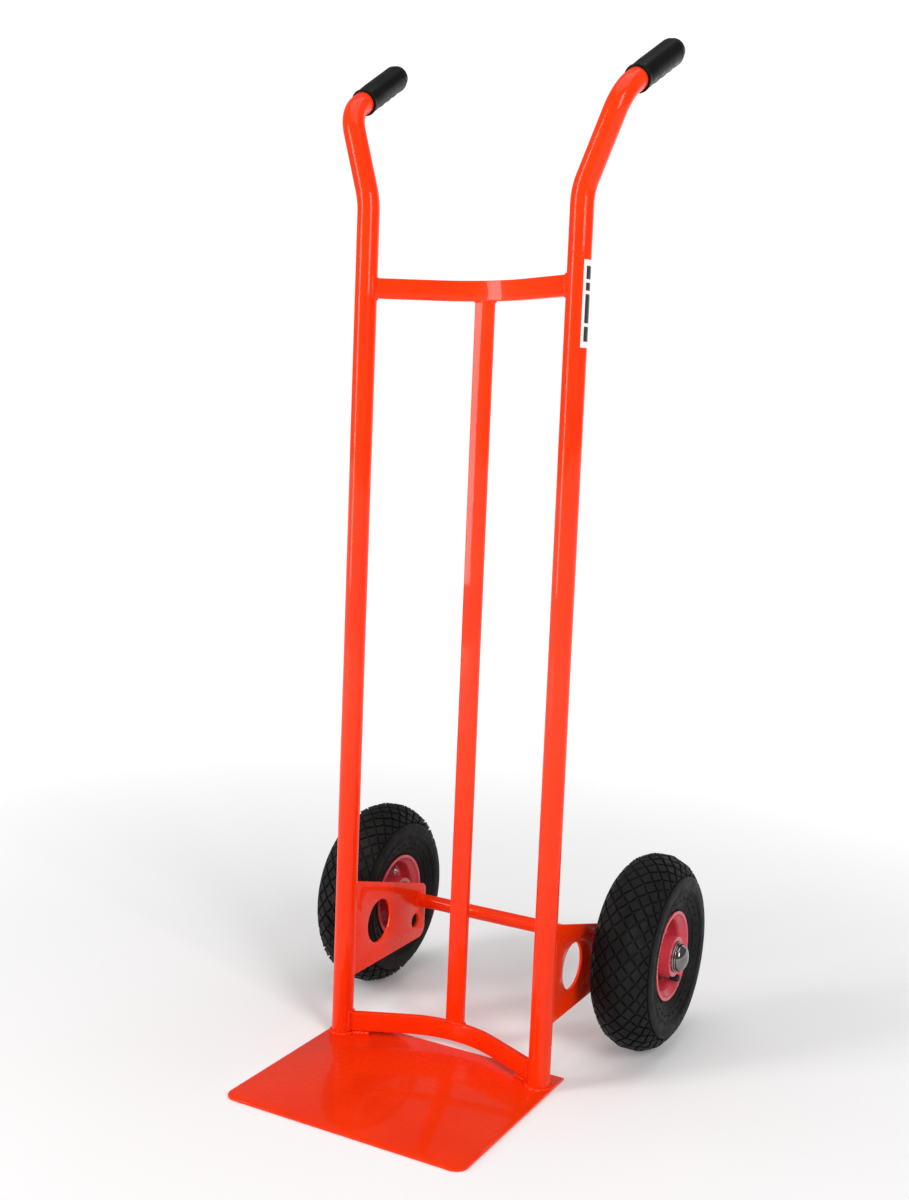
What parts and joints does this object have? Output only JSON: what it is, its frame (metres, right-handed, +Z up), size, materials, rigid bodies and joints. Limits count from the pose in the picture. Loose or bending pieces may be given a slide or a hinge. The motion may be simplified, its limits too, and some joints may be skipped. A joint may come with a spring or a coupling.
{
  "type": "hand truck",
  "caption": "Two-wheeled hand truck with a flat toe plate, a tubular frame with bowed cross bars, flared handles with grips, and pneumatic wheels on a fixed axle.",
  "frame": {"origin": "On the floor at the toe plate's underside, midway between the two side tubes' axes", "axes": "+Z up along the side tubes; -Y towards the toe plate's front edge and +Y towards the wheels and the person pushing; +X towards that person's left"},
  "size_m": [0.525, 0.5568, 1.2808],
  "materials": {
    "paint": "glossy orange-red powder coat",
    "rim": "satin crimson enamel",
    "tyre": "matt black tread rubber",
    "grip": "satin black moulded grip",
    "rubber": "matt black rubber",
    "chrome": "bright domed cap",
    "zinc": "bright zinc plate",
    "steel": "ground bearing steel",
    "label": "white printed sticker"
  },
  "bodies": {
    "frame": {"left_side_tube": "paint", "right_side_tube": "paint", "left_grip": "grip", "right_grip": "grip", "upper_cross_bar": "paint", "lower_cross_bar": "paint", "centre_upright": "paint", "toe_plate": "paint", "left_wheel_bracket": "paint", "right_wheel_bracket": "paint", "axle": "paint", "label": "label", "left_outer_washer": "zinc", "left_inner_washer": "zinc", "left_axle_cap": "chrome", "left_axle_spacer": "zinc", "right_outer_washer": "zinc", "right_inner_washer": "zinc", "right_axle_cap": "chrome", "right_axle_spacer": "zinc"},
    "left_wheel": {"left_tyre": "tyre", "left_inner_tube": "rubber", "left_rim_outer_half": "rim", "left_rim_inner_half": "rim", "left_valve_stem": "zinc", "left_valve_cap": "rubber", "left_bearing_outer": "steel", "left_bearing_inner": "steel", "left_bearing_spacer": "steel", "left_rim_bolt_1": "zinc", "left_rim_bolt_2": "zinc", "left_rim_bolt_3": "zinc", "left_rim_bolt_4": "zinc", "left_rim_nut_1": "zinc", "left_rim_nut_2": "zinc", "left_rim_nut_3": "zinc", "left_rim_nut_4": "zinc"},
    "right_wheel": {"right_tyre": "tyre", "right_inner_tube": "rubber", "right_rim_outer_half": "rim", "right_rim_inner_half": "rim", "right_valve_stem": "zinc", "right_valve_cap": "rubber", "right_bearing_outer": "steel", "right_bearing_inner": "steel", "right_bearing_spacer": "steel", "right_rim_bolt_1": "zinc", "right_rim_bolt_2": "zinc", "right_rim_bolt_3": "zinc", "right_rim_bolt_4": "zinc", "right_rim_nut_1": "zinc", "right_rim_nut_2": "zinc", "right_rim_nut_3": "zinc", "right_rim_nut_4": "zinc"}
  },
  "joints": [
    {"name": "left_wheel_spin", "type": "hinge", "parent": "frame", "child": "left_wheel", "pos_m": [0.2094, 0.1934, 0.13], "axis": [1, 0, 0], "continuous": true},
    {"name": "right_wheel_spin", "type": "hinge", "parent": "frame", "child": "right_wheel", "pos_m": [-0.2094, 0.1934, 0.13], "axis": [1, 0, 0], "continuous": true}
  ]
}
